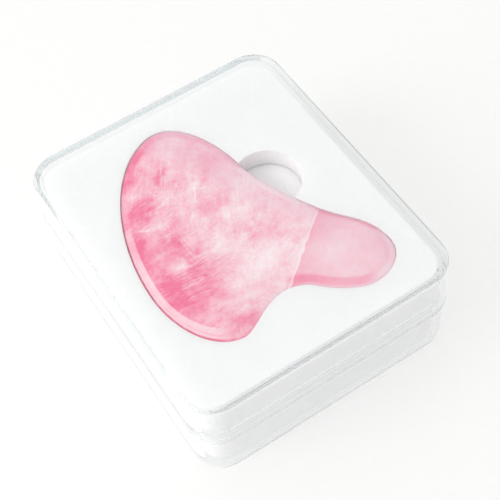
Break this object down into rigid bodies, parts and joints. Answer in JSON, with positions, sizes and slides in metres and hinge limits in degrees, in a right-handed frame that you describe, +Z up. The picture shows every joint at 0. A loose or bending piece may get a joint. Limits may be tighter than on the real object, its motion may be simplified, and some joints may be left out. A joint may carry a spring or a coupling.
{
  "type": "gua sha scraper in case",
  "caption": "Flat rose quartz massage scraper with a long curved edge and a small lobe, lying in die-cut foam inside a clear lift-off case.",
  "frame": {"origin": "centre of the underside of the case", "axes": "+Z up out of the lid, +Y along the case's length towards the blade's tip, +X across its width"},
  "size_m": [0.0812, 0.0962, 0.033],
  "materials": {
    "rose_quartz": "polished",
    "clear_lid": "polished",
    "clear_base": "polished",
    "white_foam": "matte"
  },
  "bodies": {
    "case": {"case_base": "clear_base", "foam_pad": "white_foam", "foam_top": "white_foam"},
    "lid": {"case_lid": "clear_lid"},
    "stone": {"scraper": "rose_quartz"}
  },
  "joints": [
    {"name": "lid_lift", "type": "slide", "parent": "case", "child": "lid", "axis": [0, 0, 1], "range_m": [0, 0.06]},
    {"name": "scraper_lift", "type": "slide", "parent": "case", "child": "stone", "axis": [0, 0, 1], "range_m": [0, 0.03]}
  ],
  "couplings": [
    {"joint": "scraper_lift", "follows": "lid_lift", "ratio": 0.5}
  ]
}
